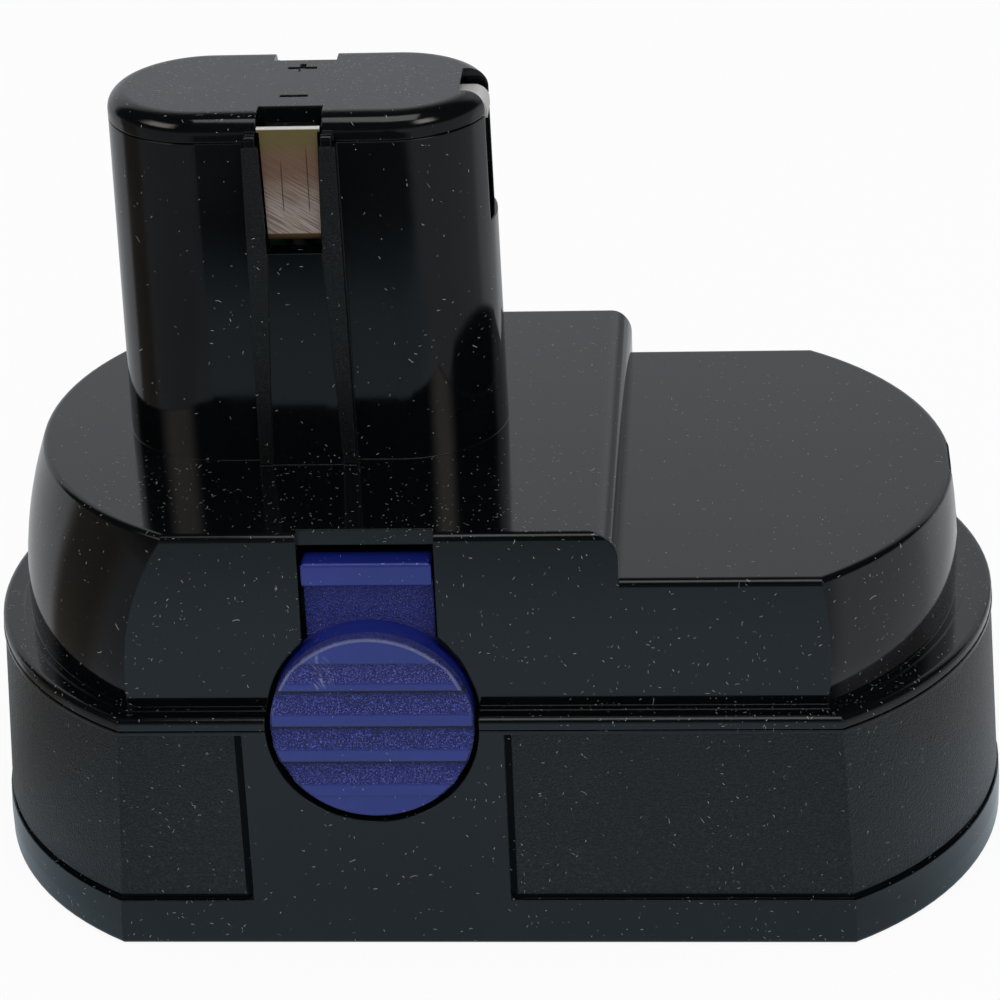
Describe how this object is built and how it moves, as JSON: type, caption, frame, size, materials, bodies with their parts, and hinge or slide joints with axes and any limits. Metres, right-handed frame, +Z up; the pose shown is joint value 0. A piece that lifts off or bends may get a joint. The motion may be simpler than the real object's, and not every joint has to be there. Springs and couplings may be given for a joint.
{
  "type": "power tool battery pack",
  "caption": "Slide-stem battery pack for a hand-held power tool: black two-part housing with a tall contact stem, cells inside, and sprung blue side latches that release it from the tool",
  "frame": {"origin": "middle of the base on the resting plane", "axes": "+X along the length towards the low end of the top, -Y towards the latch that faces the viewer, +Z up along the stem"},
  "size_m": [0.1362, 0.0772, 0.1045],
  "materials": {
    "housing_gloss": "glossy black moulding with fine scuffs and dust",
    "housing_matte": "black moulding, fine grain on the end panels",
    "latch_blue": "dark blue moulding with grained finger grooves",
    "spring_steel": "drawn wire",
    "contact_nickel": "nickel plated strip with wipe marks",
    "carrier_black": "plain black moulding",
    "cell_sleeve": "shrink sleeve",
    "strip_nickel": "rolled strip",
    "fibre_sheet": "pressed fibre sheet",
    "wire_black": "wire insulation",
    "wire_red": "wire insulation",
    "wire_yellow": "wire insulation",
    "bead_epoxy": "dipped bead",
    "cutout_steel": "pressed can",
    "screw_steel": "zinc plated"
  },
  "bodies": {
    "housing": {"upper_housing": "housing_gloss", "lower_housing": "housing_matte", "stem_cap": "housing_gloss", "front_latch_spring": "spring_steel", "rear_latch_spring": "spring_steel", "front_contact": "contact_nickel", "rear_contact": "contact_nickel", "sense_contact": "contact_nickel", "contact_carrier": "carrier_black", "front_row_cells": "cell_sleeve", "rear_row_cells": "cell_sleeve", "stem_cells": "cell_sleeve", "top_links": "strip_nickel", "bottom_links": "strip_nickel", "stem_links": "strip_nickel", "top_insulator": "fibre_sheet", "bottom_pad": "fibre_sheet", "front_lead": "wire_black", "rear_lead": "wire_red", "sense_lead": "wire_yellow", "thermistor": "bead_epoxy", "thermal_cutout": "cutout_steel", "housing_screws": "screw_steel"},
    "front_latch": {"front_latch": "latch_blue"},
    "rear_latch": {"rear_latch": "latch_blue"}
  },
  "joints": [
    {"name": "front_latch_pivot", "type": "hinge", "parent": "housing", "child": "front_latch", "pos_m": [-0.01335, -0.0335, 0.013], "axis": [-1, 0, 0], "range_deg": [0, 4], "stiffness_Nm_per_rad": 0.4, "springref_deg": -5.73, "deforming": ["front_latch_spring"]},
    {"name": "rear_latch_pivot", "type": "hinge", "parent": "housing", "child": "rear_latch", "pos_m": [-0.01335, 0.0335, 0.013], "axis": [1, 0, 0], "range_deg": [0, 4], "stiffness_Nm_per_rad": 0.4, "springref_deg": -5.73, "deforming": ["rear_latch_spring"]}
  ]
}
